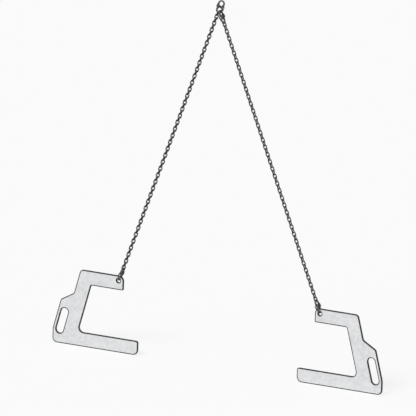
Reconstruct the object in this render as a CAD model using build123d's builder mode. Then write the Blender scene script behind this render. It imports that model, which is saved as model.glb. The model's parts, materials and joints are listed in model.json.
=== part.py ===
"""Pipe sling: a coupling link as the lifting eye, two chain legs, and a C-shaped hook plate on each leg.

Millimetres and degrees. X runs along the sling, Y away from the viewer, Z up. The origin is the bearing point
of the eye: the inner crown of the top coupling, which leans in line with the left leg. The sling hangs from
it, with both hook plates level.
"""

import os
from math import acos, cos, degrees, radians, sin, sqrt, tan

from build123d import *

# Chain of round steel
wire = 8.0
pitch = 24.0
link_inner_width = 12.0
left_link_pairs = 39
right_link_pairs = 38
segments_per_leg = 8
left_leg_angle = 19.1

# Coupling links: two forged halves on a load pin, kept central by a sleeve
coupling_wire = 11.0
coupling_inner_length = 72.0
coupling_inner_width = 24.0
pin_diameter = 11.0
sleeve_diameter = 16.0
lug_diameter = 20.0
lug_thickness = 7.4

# Hook plates
plate_thickness = 12.0
chain_hole_diameter = 25.0
hole_to_edge = 32.0
hole_to_tip = 35.0
arm_length = 226.5
arm_height = 92.0
jaw_opening = 313.0
prong_length = 423.0
prong_height = 92.0
back_lean = 14.8
back_width = 100.5
shoulder_depth = 159.0
shoulder_rise = 51.5
grip_projection = 76.0
grip_bar = 22.0
hand_slot_length = 171.0
hand_slot_width = 51.0
hand_slot_height = 148.0

# Corner radii of the hook plates
arm_tip_radius = 34.0
arm_corner_radius = 8.0
jaw_top_radius = 8.0
jaw_bottom_radius = 30.0
prong_upper_radius = 14.0
prong_lower_radius = 34.0
heel_radius = 32.0
grip_base_radius = 60.0
grip_shoulder_radius = 25.0
shoulder_radius = 20.0
back_top_radius = 25.0

# Facets round each wire, with one corner towards the inside of the bend, and round the lugs, sleeves and pins
chain_wire_sides = 4
coupling_wire_sides = 6
lug_sides = 12
pin_sides = 24

# Clearances
play = 0.3
side_gap = 0.8
pin_fit = 0.15
lug_gap = 0.3
limb_gap = 1.2

# Three flats in place of each round end: half a flat over the end's radius
flat_ratio = tan(radians(22.5))

wire_radius = wire / 2
coupling_wire_radius = coupling_wire / 2
half_inside = coupling_inner_length / 2
chain_hole_radius = chain_hole_diameter / 2
left_links = 2 * left_link_pairs
right_links = 2 * right_link_pairs + 1

os.makedirs("parts", exist_ok=True)


def round_end(crown, half_width):
    """Corner points of a wire's end, on its centre line, from its right limb over the crown to its left."""
    flat = half_width * flat_ratio
    shoulder = crown - half_width + flat
    return [(half_width, shoulder), (flat, crown), (-flat, crown), (-half_width, shoulder)]


def save(name, part):
    """Label a finished piece and write its STEP file."""
    part.label = name
    export_step(part, f"parts/{name}.step")


# One chain link, standing along Y
link_half_width = link_inner_width / 2 + wire_radius
link_crown = (pitch + play) / 2 + wire_radius
link_end = round_end(link_crown, link_half_width)
limb_middle = (link_half_width, 0)
wire_plane = Plane(origin=limb_middle, x_dir=(1, 0, 0), z_dir=(0, 1, 0))
with BuildPart() as link:
    with BuildLine():
        Polyline(limb_middle, *link_end, *[(-x, -y) for x, y in link_end], limb_middle)
    with BuildSketch(wire_plane):
        RegularPolygon(radius=wire_radius, side_count=chain_wire_sides)
    sweep(transition=Transition.RIGHT)

# One half of a coupling, with its pin axis on X and its bow towards +Y. Each of its two lugs tapers into a
# limb of the bow, one lug diameter from the pin.
bow_half_width = coupling_inner_width / 2 + coupling_wire_radius
bow_crown = half_inside + coupling_wire_radius
lug_radius = lug_diameter / 2
pin_bore_radius = pin_diameter / 2 + pin_fit
limb_start = lug_radius + limb_gap
outer_lug = bow_half_width + lug_gap / 2
inner_lug = bow_half_width - lug_gap / 2 - lug_thickness
limb_plane = Plane(origin=(bow_half_width, limb_start, 0), x_dir=(1, 0, 0), z_dir=(0, 1, 0))
with BuildPart() as coupling_half:
    with BuildLine():
        Polyline(
            (bow_half_width, limb_start),
            *round_end(bow_crown, bow_half_width),
            (-bow_half_width, limb_start),
        )
    with BuildSketch(limb_plane):
        RegularPolygon(radius=coupling_wire_radius, side_count=coupling_wire_sides)
    sweep(transition=Transition.RIGHT)
    for lug_face in (outer_lug, -inner_lug - lug_thickness):
        with BuildSketch(Plane.YZ.offset(lug_face)):
            with BuildSketch(mode=Mode.PRIVATE) as lug_ends:
                RegularPolygon(radius=lug_radius, side_count=lug_sides)
                with Locations((lug_diameter, 0)):
                    RegularPolygon(radius=coupling_wire_radius, side_count=lug_sides)
            make_hull(lug_ends.sketch.edges())
            RegularPolygon(pin_bore_radius, lug_sides, major_radius=False, mode=Mode.SUBTRACT)
        extrude(amount=lug_thickness)

# The load pin reaches from outer lug to outer lug, and the sleeve fills the room between the inner lugs
with BuildPart() as load_pin:
    with BuildSketch(Plane.YZ):
        RegularPolygon(radius=pin_diameter / 2, side_count=pin_sides)
    extrude(amount=outer_lug + lug_thickness, both=True)

with BuildPart() as sleeve:
    with BuildSketch(Plane.YZ):
        RegularPolygon(radius=sleeve_diameter / 2, side_count=lug_sides)
        RegularPolygon(pin_bore_radius, lug_sides, major_radius=False, mode=Mode.SUBTRACT)
    extrude(amount=inner_lug - lug_gap, both=True)

# Outline of the left hook plate in X and Z, with the chain hole at its origin
top = hole_to_edge
arm_tip = hole_to_tip
arm_bottom = top - arm_height
prong_top = arm_bottom - jaw_opening
bottom = prong_top - prong_height
shoulder_top = top - shoulder_depth
shoulder_bottom = shoulder_top - shoulder_rise
lean_slope = tan(radians(back_lean))


def jaw_back(height):
    """X of the jaw's leaning back wall at a height."""
    return arm_tip - arm_length - (arm_bottom - height) * lean_slope


def outer_back(height):
    """X of the upper outer edge, which leans with the jaw."""
    return jaw_back(height) - back_width


def grip_back(height):
    """X of the grip's outer edge, which leans with the jaw."""
    return outer_back(height) - grip_projection


prong_tip = jaw_back(prong_top) + prong_length
corners = [
    ((arm_tip, top), arm_tip_radius),
    ((outer_back(top), top), back_top_radius),
    ((outer_back(shoulder_top), shoulder_top), shoulder_radius),
    ((grip_back(shoulder_bottom), shoulder_bottom), grip_shoulder_radius),
    ((grip_back(prong_top), prong_top), grip_base_radius),
    ((grip_back(prong_top), bottom), heel_radius),
    ((prong_tip, bottom), prong_lower_radius),
    ((prong_tip, prong_top), prong_upper_radius),
    ((jaw_back(prong_top), prong_top), jaw_bottom_radius),
    ((jaw_back(arm_bottom), arm_bottom), jaw_top_radius),
    ((arm_tip, arm_bottom), arm_corner_radius),
]
corner_points, corner_radii = zip(*corners)
slot_middle = bottom + hand_slot_height
slot_from_edge = (grip_bar + hand_slot_width / 2) / cos(radians(back_lean))
with BuildPart() as hook_plate:
    with BuildSketch(Plane.XZ):
        with BuildLine():
            FilletPolyline(*corner_points, radius=corner_radii, close=True)
        make_face()
        Circle(chain_hole_radius, mode=Mode.SUBTRACT)
        with Locations((grip_back(slot_middle) + slot_from_edge, slot_middle)):
            SlotOverall(hand_slot_length, hand_slot_width, rotation=90 - back_lean, mode=Mode.SUBTRACT)
    extrude(amount=plate_thickness / 2, both=True)

with BuildPart() as mirrored_plate:
    mirror(hook_plate.part, about=Plane.YZ)

# Two legs share the lower end of the top coupling's opening: the left leg's first link hangs at the crown, and
# the right leg's coupling hangs beside that link, against the right limb. Reaches and turns are from the
# middle of the round end.
inner_radius = coupling_inner_width / 2
end_middle = coupling_inner_length - inner_radius
link_reach = inner_radius - wire_radius - play / 2
coupling_reach = inner_radius - coupling_wire_radius - play / 2
seat_spacing = wire_radius + coupling_wire_radius + side_gap
squares = link_reach**2 + coupling_reach**2 - seat_spacing**2
link_turn = acos((link_reach - play / 2) / link_reach)
coupling_turn = acos(squares / (2 * link_reach * coupling_reach)) - link_turn


def leg_frame(start, lean):
    """Plane of a leg from its start: X across it, Y up along it, Z towards the viewer."""
    across = (cos(radians(lean)), 0, -sin(radians(lean)))
    return Plane(origin=start, x_dir=across, z_dir=(0, -1, 0))


def round_end_seat(reach, turn):
    """Point in the lower end of the top coupling's opening."""
    return top_link.from_local_coords((reach * sin(turn), -end_middle - reach * cos(turn), 0))


top_link = leg_frame((0, 0, 0), left_leg_angle)
left_start = round_end_seat(link_reach, -link_turn)
right_start = round_end_seat(coupling_reach, coupling_turn)

# A plate's hole rests on a coupling's lower end, whose round rises towards the two faces of the plate
plate_rise = inner_radius - sqrt(inner_radius**2 - (plate_thickness / 2) ** 2)
pin_to_hole = half_inside - plate_rise - play + chain_hole_radius

# Distances down each leg from its topmost crown centre
left_chain_start = 0.0
right_chain_start = coupling_wire_radius + coupling_inner_length - play - wire_radius
left_hook_pin = left_chain_start + wire_radius + left_links * pitch + half_inside
right_hook_pin = right_chain_start + wire_radius + right_links * pitch + half_inside
left_reach = left_hook_pin + pin_to_hole
right_reach = right_hook_pin + pin_to_hole

# Both hook plates hang level, so the longer right leg spreads wider
right_drop = left_reach * cos(radians(left_leg_angle)) + right_start.Z - left_start.Z
right_leg_angle = degrees(acos(right_drop / right_reach))
left_leg = leg_frame(left_start, left_leg_angle)
right_leg = leg_frame(right_start, -right_leg_angle)


def along(leg, distance, quarter_turns):
    """Place on a leg: face on to the viewer, and then turned by quarter turns about the leg."""
    return leg.location * Location((0, -distance, 0), (0, 90 * quarter_turns, 0))


def save_coupling(name, place):
    """Write the four pieces of a coupling whose pin lies at the place."""
    with BuildPart() as upper_half:
        with Locations(place):
            add(coupling_half.part)
    with BuildPart() as lower_half:
        with Locations(place * Location((0, 0, 0), (0, 0, 180))):
            add(coupling_half.part)
    with BuildPart() as placed_pin:
        with Locations(place):
            add(load_pin.part)
    with BuildPart() as placed_sleeve:
        with Locations(place):
            add(sleeve.part)
    save(f"{name}_upper_half", upper_half.part)
    save(f"{name}_lower_half", lower_half.part)
    save(f"{name}_load_pin", placed_pin.part)
    save(f"{name}_sleeve", placed_sleeve.part)


def save_chain(name, leg, start, count, first_edge_on):
    """Write a leg's chain in segments, its links in turn edge on and face on."""
    first_middle = start + link_crown
    for segment in range(segments_per_leg):
        first = segment * count // segments_per_leg
        last = (segment + 1) * count // segments_per_leg
        places = [
            along(leg, first_middle + index * pitch, (index + first_edge_on) % 2)
            for index in range(first, last)
        ]
        with BuildPart() as chain:
            with Locations(*places):
                add(link.part)
        save(f"{name}_{segment + 1}", chain.part)


# The top coupling shows its back, which puts the outer lug of its lower half above the right leg's coupling
save_coupling("top_coupling", along(top_link, half_inside, 2))
save_coupling("right_leg_coupling", along(right_leg, coupling_wire_radius + half_inside, 1))
save_coupling("left_hook_coupling", along(left_leg, left_hook_pin, 1))
save_coupling("right_hook_coupling", along(right_leg, right_hook_pin, 1))
save_chain("left_chain", left_leg, left_chain_start, left_links, True)
save_chain("right_chain", right_leg, right_chain_start, right_links, False)

with BuildPart() as left_hook:
    with Locations(left_leg.from_local_coords((0, -left_reach, 0))):
        add(hook_plate.part)
with BuildPart() as right_hook:
    with Locations(right_leg.from_local_coords((0, -right_reach, 0))):
        add(mirrored_plate.part)
save("left_hook", left_hook.part)
save("right_hook", right_hook.part)
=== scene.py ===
import json
from math import atan2, ceil, cos, pi, radians, sin, tan

import bmesh
import bpy
from mathutils import Matrix, Vector


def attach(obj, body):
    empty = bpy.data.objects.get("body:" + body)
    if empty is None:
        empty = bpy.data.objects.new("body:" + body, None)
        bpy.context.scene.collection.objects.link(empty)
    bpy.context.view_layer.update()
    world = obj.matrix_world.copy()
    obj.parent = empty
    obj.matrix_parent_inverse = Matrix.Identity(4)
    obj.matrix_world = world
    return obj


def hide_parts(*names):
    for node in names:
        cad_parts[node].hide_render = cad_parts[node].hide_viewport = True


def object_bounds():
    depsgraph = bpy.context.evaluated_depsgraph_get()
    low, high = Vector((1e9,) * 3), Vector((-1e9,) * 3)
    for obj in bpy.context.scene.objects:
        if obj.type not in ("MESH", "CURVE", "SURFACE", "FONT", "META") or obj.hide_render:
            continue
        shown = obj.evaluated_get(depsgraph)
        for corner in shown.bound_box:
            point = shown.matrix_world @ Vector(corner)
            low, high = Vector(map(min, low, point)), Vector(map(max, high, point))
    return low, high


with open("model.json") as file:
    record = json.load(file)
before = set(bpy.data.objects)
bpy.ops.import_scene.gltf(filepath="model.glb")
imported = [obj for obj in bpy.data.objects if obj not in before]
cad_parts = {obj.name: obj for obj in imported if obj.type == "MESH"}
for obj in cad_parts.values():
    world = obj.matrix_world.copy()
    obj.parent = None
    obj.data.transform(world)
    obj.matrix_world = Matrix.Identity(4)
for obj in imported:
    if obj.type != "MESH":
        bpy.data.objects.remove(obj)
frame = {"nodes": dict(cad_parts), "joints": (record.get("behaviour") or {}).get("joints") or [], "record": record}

cad_low, cad_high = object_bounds()

# Coupling halves
# Each coupling link is two drop-forged steel halves. A half is a round bow that widens into two lugs, one
# set outwards and one inwards, so that two equal halves close over each other on one load pin.
bow_wire = 0.011
bow_inner_length = 0.072
bow_inner_width = 0.024
bow_sides = 20
bow_turn_steps = 24
limb_clearance = 0.0008
limb_taper = 0.0022
limb_end_share = 0.62
lug_diameter = 0.020
lug_thickness = 0.0074
lug_gap = 0.0003
lug_steps = 64
neck_sharpness = 6
neck_overlap = 0.4
pin_diameter = 0.011
pin_fit = 0.00015
forging_voxel = 0.00045
forging_smoothing = 0.5
forging_passes = 5
forging_faces_kept = 0.3
bearing_spread = radians(75)
bearing_start = 0.7
forged_grey = (0.115, 0.118, 0.124, 1.0)
scale_brown = (0.070, 0.058, 0.050, 1.0)
bare_steel = (0.46, 0.46, 0.45, 1.0)
scale_patches_per_metre = 160.0
dents_per_metre = 240.0
rub_marks_per_metre = 420.0
pits_per_metre = 900.0
pit_depth = 0.0006

wire_radius = bow_wire / 2
bow_half_width = bow_inner_width / 2 + wire_radius
bow_crown = bow_inner_length / 2 + wire_radius
bow_centre = bow_crown - bow_half_width
crane_eye = Vector((0, 0, 0))
joint_place = {joint["name"]: Vector(joint["pos_m"]) for joint in frame["joints"]}
body_of = {node: body for body, nodes in frame["record"]["behaviour"]["bodies"].items() for node in nodes}


class Shade:
    """A node's socket in a Python expression: an expression on values adds its Math nodes."""

    def __init__(self, socket):
        self.socket = socket
        self.tree = socket.id_data

    def node(self, kind, settings, sockets, output=0):
        """Add a node to the tree: its settings first, then the values or links of its sockets."""
        made = self.tree.nodes.new(kind)
        for name, value in settings.items():
            setattr(made, name, value)
        for name, value in sockets.items():
            if isinstance(value, Shade):
                self.tree.links.new(value.socket, made.inputs[name])
            else:
                made.inputs[name].default_value = value
        return Shade(made.outputs[output])

    def math(self, operation, first, second=0.0):
        return self.node("ShaderNodeMath", {"operation": operation}, {0: first, 1: second})

    def __add__(self, other):
        return self.math("ADD", self, other)

    def __radd__(self, other):
        return self.math("ADD", other, self)

    def __sub__(self, other):
        return self.math("SUBTRACT", self, other)

    def __rsub__(self, other):
        return self.math("SUBTRACT", other, self)

    def __mul__(self, other):
        return self.math("MULTIPLY", self, other)

    def __rmul__(self, other):
        return self.math("MULTIPLY", other, self)

    def step(self, low, high):
        """0 below low and 1 above high, smooth between them."""
        return self.node("ShaderNodeMapRange", {"interpolation_type": "SMOOTHSTEP"}, {
            0: self, 1: low, 2: high})

    def axis(self, name):
        """One of the three numbers of this vector."""
        return self.node("ShaderNodeSeparateXYZ", {}, {0: self}, name)

    def tint(self, first, second):
        """The first colour where this value is 0, the second where it is 1."""
        return self.node("ShaderNodeMix", {"data_type": "RGBA"}, {0: self, 6: first, 7: second}, 2)

    def noise(self, scale, detail, roughness=0.55):
        """Cloudy noise over these coordinates."""
        return self.node("ShaderNodeTexNoise", {}, {
            "Vector": self, "Scale": scale, "Detail": detail, "Roughness": roughness})

    def attribute(self, name, output):
        """A value that the mesh itself carries."""
        return self.node("ShaderNodeAttribute", {"attribute_name": name}, {}, output)

    def bump(self, strength, distance):
        """A surface whose height is this value."""
        return self.node("ShaderNodeBump", {}, {
            "Strength": strength, "Distance": distance, "Height": self})

    def feed(self, node, name):
        self.tree.links.new(self.socket, node.inputs[name])


def new_finish(name, metallic):
    """A steel finish to fill in: its material, its shader and its Object coordinates."""
    material = bpy.data.materials.new(name)
    material.use_nodes = True
    nodes = material.node_tree.nodes
    shader = nodes["Principled BSDF"]
    shader.inputs["Metallic"].default_value = metallic
    return material, shader, Shade(nodes.new("ShaderNodeTexCoord").outputs["Object"])


forged_steel, shader, place = new_finish("forged_steel", 0.9)
bearing = place.attribute("bearing", "Fac")
scale_patches = place.noise(scale_patches_per_metre, 5.0).step(0.45, 0.68)
pits = place.noise(pits_per_metre, 3.0)
dents = place.noise(dents_per_metre, 2.0)
rubbed = bearing * (0.55 + 0.6 * place.noise(rub_marks_per_metre, 4.0))
as_forged = scale_patches.tint(forged_grey, scale_brown)
rubbed.step(0.25, 0.75).tint(as_forged, bare_steel).feed(shader, "Base Color")
(0.52 + 0.16 * scale_patches - 0.3 * rubbed).feed(shader, "Roughness")
(pits + 0.8 * dents).bump(0.35, pit_depth).feed(shader, "Normal")


def add_rings(mesh, rings, closed):
    """Join rings of points, in turn, to a tube. An open tube gets flat ends, a closed one meets itself."""
    rows = [[mesh.verts.new(point) for point in ring] for ring in rings]
    pairs = zip(rows, rows[1:] + rows[:1]) if closed else zip(rows, rows[1:])
    for lower, upper in pairs:
        for index in range(len(lower)):
            after = (index + 1) % len(lower)
            mesh.faces.new((lower[index], lower[after], upper[after], upper[index]))
    if not closed:
        mesh.faces.new(reversed(rows[0]))
        mesh.faces.new(rows[-1])


def bow_rings():
    """Rings of a half's bow: up one limb, round the crown and down the other, its cut ends drawn in."""
    limb_end = lug_diameter / 2 + limb_clearance
    path = [
        ((bow_half_width, limb_end), 0.0, limb_end_share),
        ((bow_half_width, limb_end + limb_taper), 0.0, 1.0),
    ]
    for index in range(bow_turn_steps + 1):
        turn = pi * index / bow_turn_steps
        path.append(((bow_half_width * cos(turn), bow_centre + bow_half_width * sin(turn)), turn, 1.0))
    path += [((-x, y), pi, share) for (x, y), turn, share in reversed(path[:2])]
    rings = []
    for (x, y), turn, share in path:
        out = Vector((cos(turn), sin(turn), 0))
        rings.append([
            Vector((x, y, 0)) + share * wire_radius * (cos(a) * out + sin(a) * Vector((0, 0, 1)))
            for a in (2 * pi * side / bow_sides for side in range(bow_sides))
        ])
    return rings


def lug_rings(face):
    """Rings of one lug: a drop-shaped eye that narrows into the limb, with the pin's bore through it."""
    bore_radius = pin_diameter / 2 + pin_fit
    neck = lug_diameter / 2 + wire_radius * neck_overlap
    near, far = Vector((face, 0, 0)), Vector((face + lug_thickness, 0, 0))
    rings = []
    for index in range(lug_steps):
        turn = 2 * pi * index / lug_steps
        reach = lug_diameter / 2 + max(0.0, sin(turn)) ** neck_sharpness * neck
        inner = Vector((0, bore_radius * sin(turn), bore_radius * cos(turn)))
        outer = Vector((0, reach * sin(turn), reach * cos(turn)))
        rings.append([inner + near, inner + far, outer + far, outer + near])
    return rings


def finished_copy(source, name):
    """A plain mesh of an object as its modifiers leave it. The object itself goes."""
    bpy.context.view_layer.update()
    evaluated = source.evaluated_get(bpy.context.evaluated_depsgraph_get())
    mesh = bpy.data.meshes.new_from_object(evaluated)
    mesh.name = name
    bpy.data.objects.remove(source)
    return mesh


def forged_half():
    """One half, its pin along X and its bow towards +Y: bow and lugs run together as in a forging."""
    blank = bmesh.new()
    add_rings(blank, bow_rings(), False)
    outer_face = bow_half_width + lug_gap / 2
    inner_face = -bow_half_width + lug_gap / 2
    for face in (outer_face, inner_face):
        add_rings(blank, lug_rings(face), True)
    bmesh.ops.recalc_face_normals(blank, faces=blank.faces)
    mesh = bpy.data.meshes.new("coupling_blank")
    blank.to_mesh(mesh)
    blank.free()
    source = bpy.data.objects.new("coupling_blank", mesh)
    bpy.context.scene.collection.objects.link(source)
    remesh = source.modifiers.new("one_forging", "REMESH")
    remesh.mode = "VOXEL"
    remesh.voxel_size = forging_voxel
    smooth = source.modifiers.new("forged_corners", "SMOOTH")
    smooth.factor = forging_smoothing
    smooth.iterations = forging_passes
    thin = source.modifiers.new("fewer_faces", "DECIMATE")
    thin.ratio = forging_faces_kept
    half = finished_copy(source, "coupling_half")
    wear = half.attributes.new("bearing", "FLOAT", "POINT")
    for vertex, value in zip(half.vertices, wear.data):
        x, y = vertex.co.xy
        inwards = 1 - ((x * x + (y - bow_centre) ** 2) ** 0.5 - bow_half_width) / wire_radius
        on_inside = max(0.0, min(1.0, inwards - bearing_start))
        near_crown = max(0.0, 1 - abs(atan2(x, y - bow_centre)) / bearing_spread)
        value.value = near_crown * on_inside if y > bow_centre else 0.0
    half.shade_smooth()
    return half


def coupling_seat(pin_place, upper_place, quarter_turns):
    """The frame of a coupling: X along its pin, Y up its length, Z towards the viewer before its turns."""
    up = (upper_place - pin_place).normalized()
    facing = Vector((0, -1, 0))
    axes = Matrix((up.cross(facing), up, facing)).transposed().to_4x4()
    return Matrix.Translation(pin_place) @ axes @ Matrix.Rotation(quarter_turns * pi / 2, 4, "Y")


def add_piece(name, mesh, finish, node):
    """Put a finished mesh in the scene as the piece that stands for a node."""
    mesh.materials.clear()
    mesh.materials.append(finish)
    piece = bpy.data.objects.new(name, mesh)
    bpy.context.scene.collection.objects.link(piece)
    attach(piece, body_of[node])
    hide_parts(node)


couplings = {"top_coupling": coupling_seat(joint_place["top_fold"], crane_eye, 2)}
for coupling, upper_joint in (
    ("right_leg_coupling", "right_leg_swing"),
    ("left_hook_coupling", "left_hook_coupling_bend"),
    ("right_hook_coupling", "right_hook_coupling_bend"),
):
    couplings[coupling] = coupling_seat(joint_place[f"{coupling}_fold"], joint_place[upper_joint], 1)
half_pattern = forged_half()
half_turn = Matrix.Rotation(pi, 4, "Z")
for coupling, seat in couplings.items():
    for half, turned in (("upper_half", seat), ("lower_half", seat @ half_turn)):
        mesh = half_pattern.copy()
        mesh.transform(turned)
        add_piece(f"{coupling}_forged_{half}", mesh, forged_steel, f"{coupling}_{half}")

# Load pins
# A turned and ground steel pin carries each coupling's load, through all four lugs. It is driven in, and
# its ends are chamfered, with the small centre marks of the lathe.
pin_length = 0.0501
pin_chamfer = 0.0009
centre_mark = 0.0014
centre_mark_tip = centre_mark / 8
turned_sides = 40
turned_sharp_angle = radians(28)
ground_bright = (0.58, 0.58, 0.57, 1.0)
ground_dull = (0.36, 0.36, 0.36, 1.0)
smears_per_metre = 300.0
lathe_marks_per_metre = 2600.0
lathe_mark_depth = 0.0002


def lathe_marks(place):
    """Fine rings round a turned piece, from each point's place along it."""
    return place.node("ShaderNodeTexNoise", {"noise_dimensions": "1D"}, {
        "W": place.attribute("along", "Fac"), "Scale": lathe_marks_per_metre, "Detail": 3.0})


ground_steel, shader, place = new_finish("ground_steel", 1.0)
marks = lathe_marks(place)
smears = place.noise(smears_per_metre, 3.0)
(0.5 * marks + 0.5 * smears).step(0.35, 0.7).tint(ground_bright, ground_dull).feed(shader, "Base Color")
(0.24 + 0.2 * smears).feed(shader, "Roughness")
marks.bump(0.25, lathe_mark_depth).feed(shader, "Normal")


def turned_piece(name, profile, closed):
    """A lathe-turned mesh about X from a profile of places along it and radii."""
    form = bmesh.new()
    turns = [2 * pi * side / turned_sides for side in range(turned_sides)]
    add_rings(form, [[Vector((x, r * cos(a), r * sin(a))) for a in turns] for x, r in profile], closed)
    bmesh.ops.recalc_face_normals(form, faces=form.faces)
    mesh = bpy.data.meshes.new(name)
    form.to_mesh(mesh)
    form.free()
    along = mesh.attributes.new("along", "FLOAT", "POINT")
    for vertex, value in zip(mesh.vertices, along.data):
        value.value = vertex.co.x
    mesh.shade_smooth()
    mesh.set_sharp_from_angle(angle=turned_sharp_angle)
    return mesh


def fit_in_couplings(pattern, piece, finish, node):
    """Put a copy of a turned piece in each coupling."""
    for coupling, seat in couplings.items():
        mesh = pattern.copy()
        mesh.transform(seat)
        add_piece(f"{coupling}_{piece}", mesh, finish, f"{coupling}_{node}")


pin_end = pin_length / 2
pin_radius = pin_diameter / 2
pin_right = [
    (pin_end - pin_chamfer, pin_radius), (pin_end, pin_radius - pin_chamfer), (pin_end, centre_mark),
    (pin_end - centre_mark, centre_mark_tip),
]
pin_left = [(-x, r) for x, r in reversed(pin_right)]
pin_pattern = turned_piece("load_pin", pin_left + pin_right, False)
fit_in_couplings(pin_pattern, "ground_pin", ground_steel, "load_pin")

# Sleeves
# A short turned and blackened sleeve sits on the pin between the lugs and keeps the pin central. Its
# outside is a little barrelled and its ends are rounded.
sleeve_diameter = 0.016
sleeve_length = 0.0193
sleeve_barrel = 0.0005
sleeve_round = 0.0011
round_bulge = 0.3
barrel_steps = 8
oxide_black = (0.034, 0.035, 0.038, 1.0)
oxide_rubbed = (0.15, 0.15, 0.145, 1.0)
handling_per_metre = 260.0

blackened_steel, shader, place = new_finish("blackened_steel", 0.85)
marks = lathe_marks(place)
handling = place.noise(handling_per_metre, 4.0)
(0.4 * marks + 0.6 * handling).step(0.5, 0.72).tint(oxide_black, oxide_rubbed).feed(shader, "Base Color")
(0.40 + 0.22 * handling).feed(shader, "Roughness")
marks.bump(0.25, lathe_mark_depth).feed(shader, "Normal")

sleeve_end = sleeve_length / 2
sleeve_radius = sleeve_diameter / 2
sleeve_bore = pin_radius + pin_fit
barrel = []
for index in range(barrel_steps + 1):
    share = 2 * index / barrel_steps - 1
    barrel.append((share * (sleeve_end - sleeve_round), sleeve_radius - sleeve_barrel * share * share))
edge_radius = sleeve_radius - sleeve_barrel
sleeve_right = [
    (sleeve_end - round_bulge * sleeve_round, edge_radius - round_bulge * sleeve_round),
    (sleeve_end, edge_radius - sleeve_round), (sleeve_end, sleeve_bore),
]
sleeve_left = [(-x, r) for x, r in reversed(sleeve_right)]
sleeve_pattern = turned_piece("sleeve", sleeve_left + barrel + sleeve_right, True)
fit_in_couplings(sleeve_pattern, "turned_sleeve", blackened_steel, "sleeve")

# Chains
# Two legs of round-steel chain, tempered to a dark grey. Each link is bent from wire and butt welded in
# the middle of one limb, and the links bear on each other at their crowns, where they wear bright.
link_wire = 0.008
link_pitch = 0.024
link_inner_width = 0.012
link_play = 0.0003
link_sides = 6
link_bends = 16
crown_wear_start = 0.0045
crown_wear_margin = 0.001
weld_limb = (0.004, 0.008)
weld_band = (0.0012, 0.0032)
tempered_black = (0.030, 0.031, 0.034, 1.0)
tempered_brown = (0.062, 0.048, 0.038, 1.0)
weld_blue = (0.075, 0.085, 0.115, 1.0)
crown_bright = (0.26, 0.26, 0.25, 1.0)
temper_patches_per_metre = 90.0
wear_marks_per_metre = 300.0
grain_per_metre = 1100.0
grain_depth = 0.0004

link_half_width = (link_inner_width + link_wire) / 2
link_crown = (link_pitch + link_play + link_wire) / 2
limb_length = link_crown - link_half_width

chain_steel, shader, place = new_finish("tempered_chain", 0.9)
on_link = place.attribute("on_link", "Vector")
from_middle = on_link.math("ABSOLUTE", on_link.axis("Y"))
crown = from_middle.step(limb_length + crown_wear_start, link_crown - crown_wear_margin)
weld = (1 - from_middle.step(*weld_band)) * on_link.axis("X").step(*weld_limb)
patches = place.noise(temper_patches_per_metre, 5.0).step(0.42, 0.7)
grain = place.noise(grain_per_metre, 3.0)
wear = crown * (0.35 + 0.75 * place.noise(wear_marks_per_metre, 3.0))
tempered = (0.85 * weld).tint(patches.tint(tempered_black, tempered_brown), weld_blue)
wear.step(0.3, 0.85).tint(tempered, crown_bright).feed(shader, "Base Color")
(0.46 + 0.18 * patches - 0.2 * wear).feed(shader, "Roughness")
(grain + 1.5 * weld).bump(0.3, grain_depth).feed(shader, "Normal")


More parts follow.
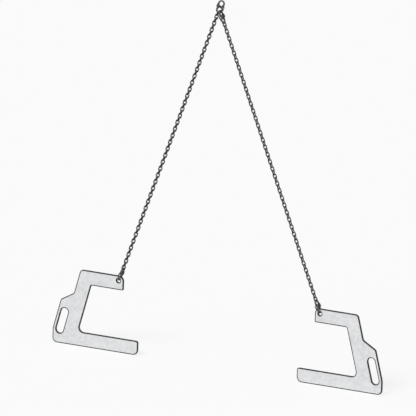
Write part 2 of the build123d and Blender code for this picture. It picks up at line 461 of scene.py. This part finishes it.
def chain_tree():
    """A stretch of chain: one link of bent wire, set along a line, every second one a quarter turned."""
    tree = bpy.data.node_groups.new("chain_stretch", "GeometryNodeTree")
    inputs = {}
    for name, kind in (
        ("Wire", "NodeSocketFloat"), ("Pitch", "NodeSocketFloat"), ("Width", "NodeSocketFloat"),
        ("Length", "NodeSocketFloat"), ("Links", "NodeSocketInt"), ("First Turned", "NodeSocketInt"),
        ("First Middle", "NodeSocketVector"), ("Leg Up", "NodeSocketVector"),
    ):
        inputs[name] = tree.interface.new_socket(name, in_out="INPUT", socket_type=kind).identifier
    tree.interface.new_socket("Geometry", in_out="OUTPUT", socket_type="NodeSocketGeometry")
    given = tree.nodes.new("NodeGroupInput").outputs
    wire, pitch, width, length = (Shade(given[name]) for name in ("Wire", "Pitch", "Width", "Length"))
    leg_up = Shade(given["Leg Up"])
    add = leg_up.node
    place = add("GeometryNodeInputPosition", {}, {})
    ring = add("GeometryNodeCurvePrimitiveCircle", {"mode": "RADIUS"}, {
        "Resolution": link_bends, "Radius": width * (0.5 / cos(pi / link_bends))})
    upright = add("GeometryNodeTransform", {}, {"Geometry": ring, "Rotation": (0.0, 0.0, pi / link_bends)})
    end = place.math("SIGN", place.axis("Y"))
    apart = add("ShaderNodeCombineXYZ", {}, {"Y": end * (0.5 * (length - width))})
    bent = add("GeometryNodeSetPosition", {}, {"Geometry": upright, "Offset": apart})
    section = add("GeometryNodeCurvePrimitiveCircle", {"mode": "RADIUS"}, {
        "Resolution": link_sides, "Radius": 0.5 * wire})
    link = add("GeometryNodeCurveToMesh", {}, {"Curve": bent, "Profile Curve": section})
    smooth = add("GeometryNodeSetShadeSmooth", {}, {"Geometry": link})
    marked = add("GeometryNodeStoreNamedAttribute", {"data_type": "FLOAT_VECTOR", "domain": "POINT"}, {
        "Geometry": smooth, "Name": "on_link", "Value": place})
    down = add("ShaderNodeVectorMath", {"operation": "SCALE"}, {0: leg_up, "Scale": -1.0 * pitch})
    stations = add("GeometryNodeMeshLine", {"mode": "OFFSET"}, {
        "Count": Shade(given["Links"]), "Start Location": Shade(given["First Middle"]), "Offset": down})
    number = add("GeometryNodeInputIndex", {}, {}) + Shade(given["First Turned"])
    flat = add("ShaderNodeVectorMath", {"operation": "CROSS_PRODUCT"}, {0: (0.0, 1.0, 0.0), 1: leg_up})
    side = add("ShaderNodeMix", {"data_type": "VECTOR"}, {
        0: number.math("MODULO", number, 2.0), 4: flat, 5: (0.0, 1.0, 0.0)}, 1)
    turned = add("FunctionNodeAxesToRotation", {"primary_axis": "Y", "secondary_axis": "X"}, {
        0: leg_up, 1: side})
    set_out = add("GeometryNodeInstanceOnPoints", {}, {
        "Points": stations, "Instance": marked, "Rotation": turned})
    real = add("GeometryNodeRealizeInstances", {}, {"Geometry": set_out})
    painted = add("GeometryNodeSetMaterial", {}, {"Geometry": real, "Material": chain_steel})
    painted.feed(tree.nodes.new("NodeGroupOutput"), "Geometry")
    return tree, inputs


chain_stretch, stretch_inputs = chain_tree()
for side, first_joint, first_turned in (("left", "left_leg_swing", 1), ("right", "right_chain_bend_1", 0)):
    first_crown = joint_place[first_joint]
    last_crown = joint_place[f"{side}_hook_coupling_bend"]
    leg_up = (first_crown - last_crown).normalized()
    leg_links = round(((last_crown - first_crown).length - 2 * link_crown) / link_pitch) + 1
    stretches = sum(node.startswith(f"{side}_chain_") for node in frame["nodes"])
    for stretch in range(stretches):
        first = stretch * leg_links // stretches
        after_last = (stretch + 1) * leg_links // stretches
        source = bpy.data.objects.new("stretch", bpy.data.meshes.new("stretch"))
        bpy.context.scene.collection.objects.link(source)
        chain = source.modifiers.new("chain", "NODES")
        chain.node_group = chain_stretch
        for name, value in (
            ("Wire", link_wire), ("Pitch", link_pitch),
            ("Width", 2 * link_half_width), ("Length", 2 * link_crown),
            ("Links", after_last - first), ("First Turned", first + first_turned),
            ("First Middle", first_crown - leg_up * (link_crown + first * link_pitch)), ("Leg Up", leg_up),
        ):
            chain[stretch_inputs[name]] = value
        node = f"{side}_chain_{stretch + 1}"
        add_piece(f"{node}_links", finished_copy(source, f"{node}_links"), chain_steel, node)

# Hook plates
# Each hook is one C-shaped plate, flame cut from 12 mm galvanised steel, with a hole for the coupling in
# its arm, a hand slot in its back and a long prong that goes into the pipe. The cut leaves its edges dark.
plate_thickness = 0.012
chain_hole_diameter = 0.025
hole_to_edge = 0.032
hole_to_tip = 0.035
arm_length = 0.2265
arm_height = 0.092
jaw_opening = 0.313
prong_length = 0.423
prong_height = 0.092
back_lean = radians(14.8)
back_width = 0.1005
shoulder_depth = 0.159
shoulder_rise = 0.0515
grip_projection = 0.076
grip_bar = 0.022
hand_slot_length = 0.171
hand_slot_width = 0.051
hand_slot_height = 0.148
arm_tip_radius = 0.034
back_top_radius = 0.025
shoulder_radius = 0.020
grip_shoulder_radius = 0.025
grip_base_radius = 0.060
heel_radius = 0.032
prong_lower_radius = 0.034
prong_upper_radius = 0.014
jaw_bottom_radius = 0.030
jaw_top_radius = 0.008
arm_corner_radius = 0.008
round_step = radians(7)
bored_steps = 40
edge_break = 0.0012
edge_steps = 3
cut_band = 0.0062
plate_sharp_angle = radians(25)
zinc_pale = (0.79, 0.80, 0.805, 1.0)
zinc_dull = (0.66, 0.672, 0.685, 1.0)
zinc_burnt = (0.40, 0.395, 0.38, 1.0)
cut_scale = (0.026, 0.026, 0.028, 1.0)
cut_ridge = (0.078, 0.075, 0.072, 1.0)
rub_bright = (0.78, 0.78, 0.77, 1.0)
knock_bright = (0.45, 0.45, 0.44, 1.0)
zinc_metallic = 0.75
scale_metallic = 0.05
plate_specular = 0.25
clouds_per_metre = 9.0
crystals_per_metre = 55.0
scuffs_per_metre = 70.0
knocks_per_metre = 48.0
flakes_per_metre = 520.0
drag_lines_per_metre = 620.0
drag_line_stretch = (1.0, 0.05, 1.0)
zinc_relief = 0.0008

top = hole_to_edge
arm_bottom = top - arm_height
prong_top = arm_bottom - jaw_opening
bottom = prong_top - prong_height
shoulder_top = top - shoulder_depth
shoulder_bottom = shoulder_top - shoulder_rise


def jaw_back(height):
    """X of the jaw's leaning back wall at a height. The outer edges behind it lean alike."""
    return hole_to_tip - arm_length - (arm_bottom - height) * tan(back_lean)


def rounded_corner(before, corner, after, radius):
    """Points round one corner of the cut outline, each with the direction from it into the steel."""
    back = (before - corner).normalized()
    on = (after - corner).normalized()
    middle = (back + on).normalized()
    half_turn = pi / 2 - middle.angle(back)
    bend = 1 if on.cross(back) > 0 else -1
    centre = corner + middle * radius / cos(half_turn)
    steps = ceil(2 * half_turn / round_step)
    points = []
    for index in range(steps + 1):
        out = Matrix.Rotation(bend * half_turn * (2 * index / steps - 1), 2) @ -middle
        points.append((centre + radius * out, -bend * out))
    return points


def bored_loop(middle, half_run, radius, lean):
    """Points round a hole, or a slot that leans, each with the direction from it into the steel."""
    run = Vector((sin(lean), cos(lean)))
    points = []
    for index in range(bored_steps):
        out = Matrix.Rotation(-2 * pi * (index + 0.5) / bored_steps, 2) @ Vector((run.y, -run.x))
        end = half_run if out.dot(run) > 0 else -half_run
        points.append((middle + end * run + radius * out, out))
    return points


grip_back = back_width + grip_projection
foot_x = jaw_back(prong_top) - grip_back
prong_tip = jaw_back(prong_top) + prong_length
outline = [
    ((hole_to_tip, top), arm_tip_radius),
    ((jaw_back(top) - back_width, top), back_top_radius),
    ((jaw_back(shoulder_top) - back_width, shoulder_top), shoulder_radius),
    ((jaw_back(shoulder_bottom) - grip_back, shoulder_bottom), grip_shoulder_radius),
    ((foot_x, prong_top), grip_base_radius),
    ((foot_x, bottom), heel_radius),
    ((prong_tip, bottom), prong_lower_radius),
    ((prong_tip, prong_top), prong_upper_radius),
    ((jaw_back(prong_top), prong_top), jaw_bottom_radius),
    ((jaw_back(arm_bottom), arm_bottom), jaw_top_radius),
    ((hole_to_tip, arm_bottom), arm_corner_radius),
]
corners = [Vector(point) for point, radius in outline]
outer_loop = []
for index, (point, radius) in enumerate(outline):
    after = corners[(index + 1) % len(corners)]
    outer_loop += rounded_corner(corners[index - 1], corners[index], after, radius)
slot_z = bottom + hand_slot_height
slot_x = jaw_back(slot_z) - grip_back + (grip_bar + hand_slot_width / 2) / cos(back_lean)
slot_half_run = (hand_slot_length - hand_slot_width) / 2
cut_loops = [
    outer_loop,
    bored_loop(Vector((0, 0)), 0.0, chain_hole_diameter / 2, 0.0),
    bored_loop(Vector((slot_x, slot_z)), slot_half_run, hand_slot_width / 2, back_lean),
]

zinc, shader, place = new_finish("galvanised_plate", zinc_metallic)
shader.inputs["Specular IOR Level"].default_value = plate_specular
from_edge = place.attribute("from_edge", "Fac")
crystals = place.node("ShaderNodeTexVoronoi", {"feature": "F1"}, {
    "Vector": place, "Scale": crystals_per_metre}, "Color")
spangle = crystals.node("ShaderNodeSeparateColor", {}, {0: crystals})
clouds = place.noise(clouds_per_metre, 5.0)
scuffs = place.noise(scuffs_per_metre, 6.0, 0.7)
flakes = place.noise(flakes_per_metre, 4.0, 0.65)
face_zinc = (0.45 * spangle + 0.9 * clouds).step(0.3, 1.1).tint(zinc_pale, zinc_dull)
worn_zinc = (scuffs.step(0.6, 0.72) * 0.35).tint(face_zinc, rub_bright)
heated_zinc = (0.4 - 0.4 * from_edge.step(0.6, 1.0)).tint(worn_zinc, zinc_burnt)
ragged = from_edge + 0.4 * (scuffs - 0.5) + 0.5 * (flakes - 0.5)
edge_mask = (1 - ragged.step(0.72, 0.86)) * (1 - from_edge.step(0.9, 1.0))
knocked = place.attribute("arris", "Fac") * place.noise(knocks_per_metre, 5.0, 0.7).step(0.55, 0.65)
scale_mask = edge_mask * (1 - knocked)
through_plate = place.node("ShaderNodeVectorMath", {"operation": "MULTIPLY"}, {
    0: place, 1: drag_line_stretch})
cut_wall = 1 - from_edge.step(0.0, 0.08)
drag_lines = cut_wall * through_plate.noise(drag_lines_per_metre, 2.0)
burnt_edge = drag_lines.step(0.45, 0.75).tint(cut_scale, cut_ridge)
knocked.tint(edge_mask.tint(heated_zinc, burnt_edge), knock_bright).feed(shader, "Base Color")
(zinc_metallic - (zinc_metallic - scale_metallic) * scale_mask).feed(shader, "Metallic")
(0.38 + 0.16 * spangle + 0.4 * scale_mask).feed(shader, "Roughness")
(0.5 * spangle + scuffs + 3.0 * drag_lines).bump(0.12, zinc_relief).feed(shader, "Normal")


def cut_plate(node, hole, side):
    """One plate, its hole at a place and its prong towards a side: cut walls, eased edges, flat faces."""
    half = plate_thickness / 2
    eased = [(edge_break + cut_band, half, 1.0, 0.0)]
    for index in range(edge_steps + 1):
        turn = pi / 2 * index / edge_steps
        on_arris = 1.0 if 0 < index < edge_steps else 0.0
        eased.append((edge_break * (1 - sin(turn)), half - edge_break * (1 - cos(turn)), 0.0, on_arris))
    profile = [(inset, -y, *marks) for inset, y, *marks in eased] + list(reversed(eased))
    plate = bmesh.new()
    edge_layer = plate.verts.layers.float.new("from_edge")
    arris_layer = plate.verts.layers.float.new("arris")
    faces = ([], [])
    for loop in cut_loops:
        rows = []
        for inset, y, middle, on_arris in profile:
            row = []
            for edge, inwards in loop:
                x, z = edge + inset * inwards
                row.append(plate.verts.new((hole.x + side * x, y, hole.z + z)))
                row[-1][edge_layer] = middle
                row[-1][arris_layer] = on_arris
            rows.append(row)
        for lower, upper in zip(rows, rows[1:]):
            for index in range(len(loop)):
                plate.faces.new((lower[index - 1], lower[index], upper[index], upper[index - 1]))
        for edges, row in zip(faces, (rows[0], rows[-1])):
            edges += [plate.edges.get((row[index - 1], row[index])) for index in range(len(row))]
    for edges in faces:
        bmesh.ops.triangle_fill(plate, edges=edges, use_beauty=True)
    bmesh.ops.recalc_face_normals(plate, faces=plate.faces)
    mesh = bpy.data.meshes.new(f"{node}_plate")
    plate.to_mesh(mesh)
    plate.free()
    mesh.shade_smooth()
    mesh.set_sharp_from_angle(angle=plate_sharp_angle)
    return mesh


for node, side in (("left_hook", 1), ("right_hook", -1)):
    mesh = cut_plate(node, joint_place[f"{node}_swing"], side)
    add_piece(f"{node}_plate", mesh, zinc, node)

# Floor and light
# A wide sheet of pale paper lies just under the prongs. An even sky, which bright steel mirrors as white,
# and one soft lamp above the viewer light the sling.
floor_reach = 30.0
floor_white = (0.93, 0.93, 0.93, 1.0)
floor_own_white = 0.7
sky_white = (1.0, 1.0, 1.0, 1.0)
sky_level = 0.62
lamp_energy = 1.35
lamp_spread = radians(25)
lamp_turn = (radians(38), radians(-22), radians(12))


def seen_ray(tree):
    """1 for a ray from the camera, also by way of bright steel, and 0 for the rays that only light."""
    path = tree.nodes.new("ShaderNodeLightPath")
    camera_ray = Shade(path.outputs["Is Camera Ray"])
    glossy_ray = Shade(path.outputs["Is Glossy Ray"])
    clear_ray = Shade(path.outputs["Is Transmission Ray"])
    return camera_ray.math("MAXIMUM", camera_ray.math("MAXIMUM", camera_ray, glossy_ray), clear_ray)


floor_corners = ((-1, -1), (1, -1), (1, 1), (-1, 1))
floor_mesh = bpy.data.meshes.new("floor")
floor_mesh.from_pydata(
    [(x * floor_reach, y * floor_reach, cad_low.z) for x, y in floor_corners], [], [(0, 1, 2, 3)])
floor = bpy.data.objects.new("floor", floor_mesh)
bpy.context.scene.collection.objects.link(floor)
paper = bpy.data.materials.new("floor_paper")
paper.use_nodes = True
nodes = paper.node_tree.nodes
nodes.remove(nodes["Principled BSDF"])
seen = seen_ray(paper.node_tree)
matt = seen.node("ShaderNodeBsdfDiffuse", {}, {"Color": floor_white})
glow = seen.node("ShaderNodeEmission", {}, {"Strength": 1.0})
surface = seen.node("ShaderNodeMixShader", {}, {0: seen * floor_own_white, 1: matt, 2: glow})
surface.feed(nodes["Material Output"], "Surface")
floor_mesh.materials.append(paper)

sky = bpy.data.worlds.new("sky")
sky.use_nodes = True
background = sky.node_tree.nodes["Background"]
background.inputs["Color"].default_value = sky_white
(sky_level + (1 - sky_level) * seen_ray(sky.node_tree)).feed(background, "Strength")
bpy.context.scene.world = sky

lamp = bpy.data.lights.new("soft_lamp", "SUN")
lamp.energy = lamp_energy
lamp.angle = lamp_spread
lamp_object = bpy.data.objects.new("soft_lamp", lamp)
lamp_object.rotation_euler = lamp_turn
bpy.context.scene.collection.objects.link(lamp_object)
bpy.context.scene.view_settings.view_transform = "Standard"

# Camera
# The drawing is a parallel projection, seen from the right and a little above, with a slight roll. The eye
# that the crane takes, at the origin, sets where the sling falls in the picture.
camera_azimuth = radians(26.55)
camera_elevation = radians(15.32)
camera_roll = radians(1.78)
camera_distance = 8.979
camera_reach = 100.0
image_pixels = 416
metres_per_pixel = 0.006276
eye_pixel = (222.2711, 1.8811)

level_right = Vector((cos(camera_azimuth), sin(camera_azimuth), 0))
towards = Vector((sin(camera_azimuth), -cos(camera_azimuth), tan(camera_elevation))).normalized()
level_up = towards.cross(level_right)
image_right = cos(camera_roll) * level_right + sin(camera_roll) * level_up
image_up = towards.cross(image_right)
eye_right = (eye_pixel[0] - image_pixels / 2) * metres_per_pixel
eye_up = (image_pixels / 2 - eye_pixel[1]) * metres_per_pixel
picture_middle = crane_eye - eye_right * image_right - eye_up * image_up
camera = bpy.data.cameras.new("camera")
camera.type = "ORTHO"
camera.ortho_scale = image_pixels * metres_per_pixel
camera.clip_end = camera_reach
camera_object = bpy.data.objects.new("camera", camera)
axes = Matrix((image_right, image_up, towards)).transposed().to_4x4()
camera_object.matrix_world = Matrix.Translation(picture_middle + camera_distance * towards) @ axes
bpy.context.scene.collection.objects.link(camera_object)
bpy.context.scene.camera = camera_object
